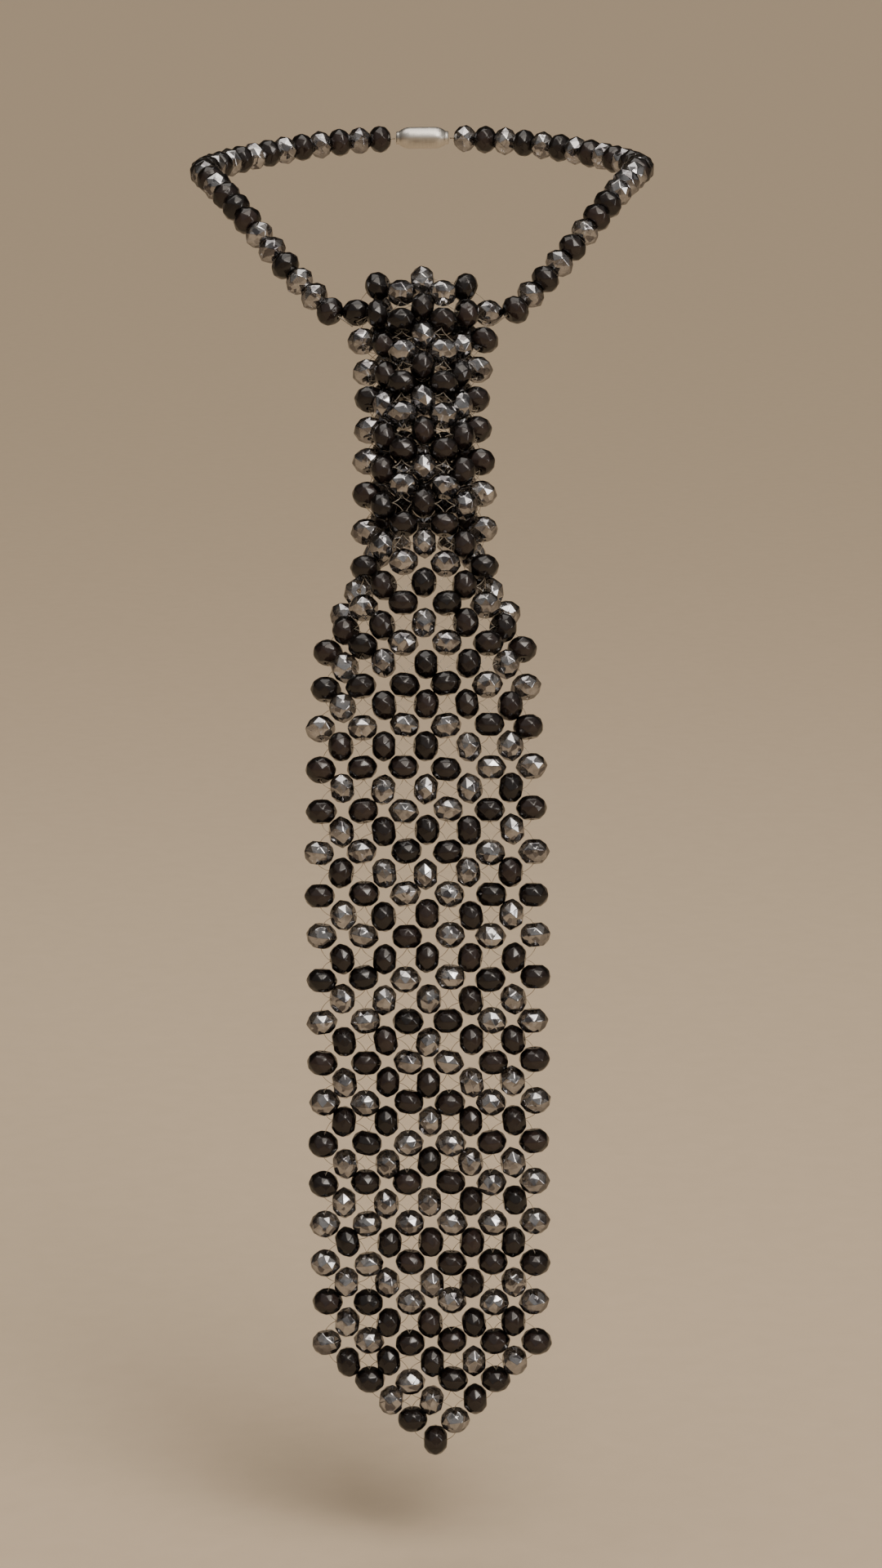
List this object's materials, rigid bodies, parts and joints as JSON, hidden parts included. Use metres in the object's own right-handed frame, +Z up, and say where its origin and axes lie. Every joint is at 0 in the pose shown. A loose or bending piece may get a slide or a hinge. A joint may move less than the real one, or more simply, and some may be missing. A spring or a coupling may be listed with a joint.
{
  "type": "necktie necklace",
  "caption": "Necklace in the shape of a necktie, woven from faceted rondelle beads: a rolled knot, a flat blade with a pointed tip and a beaded neck loop with a clasp",
  "frame": {"origin": "the middle of the neck loop, at the height where the loop rests on the sides of the neck", "axes": "+Z up, the tie's front faces -Y, +X is the wearer's left side"},
  "size_m": [0.134, 0.2116, 0.3505],
  "materials": {
    "black_glass": "polished opaque black glass",
    "silver_glass": "clear faceted crystal glass under a thin silver-grey lustre",
    "thread": "pale nylon beading thread",
    "clasp_metal": "satin silver-coloured metal"
  },
  "bodies": {
    "root": {"weave_column_1": "black_glass", "weave_column_2": "black_glass", "weave_column_3": "black_glass", "weave_column_4": "black_glass", "weave_column_5": "black_glass", "weave_column_6": "black_glass", "weave_row_01": "silver_glass", "weave_row_02": "silver_glass", "weave_row_03": "silver_glass", "weave_row_04": "silver_glass", "weave_row_05": "silver_glass", "weave_row_06": "silver_glass", "weave_row_07": "silver_glass", "weave_row_08": "silver_glass", "weave_row_09": "silver_glass", "weave_row_10": "silver_glass", "weave_row_11": "silver_glass", "weave_row_12": "silver_glass", "weave_row_13": "silver_glass", "weave_row_14": "silver_glass", "weave_row_15": "silver_glass", "weave_row_16": "silver_glass", "weave_row_17": "silver_glass", "weave_row_18": "silver_glass", "weave_row_19": "silver_glass", "weave_row_20": "silver_glass", "weave_row_21": "silver_glass", "weave_row_22": "silver_glass", "weave_row_23": "silver_glass", "weave_row_24": "silver_glass", "weave_row_25": "silver_glass", "weave_row_26": "silver_glass", "weave_row_27": "silver_glass", "weave_row_28": "silver_glass", "weave_row_29": "silver_glass", "weave_row_30": "silver_glass", "weave_row_31": "silver_glass", "neck_string_left": "black_glass", "neck_string_right": "black_glass", "clasp": "clasp_metal"}
  },
  "joints": []
}
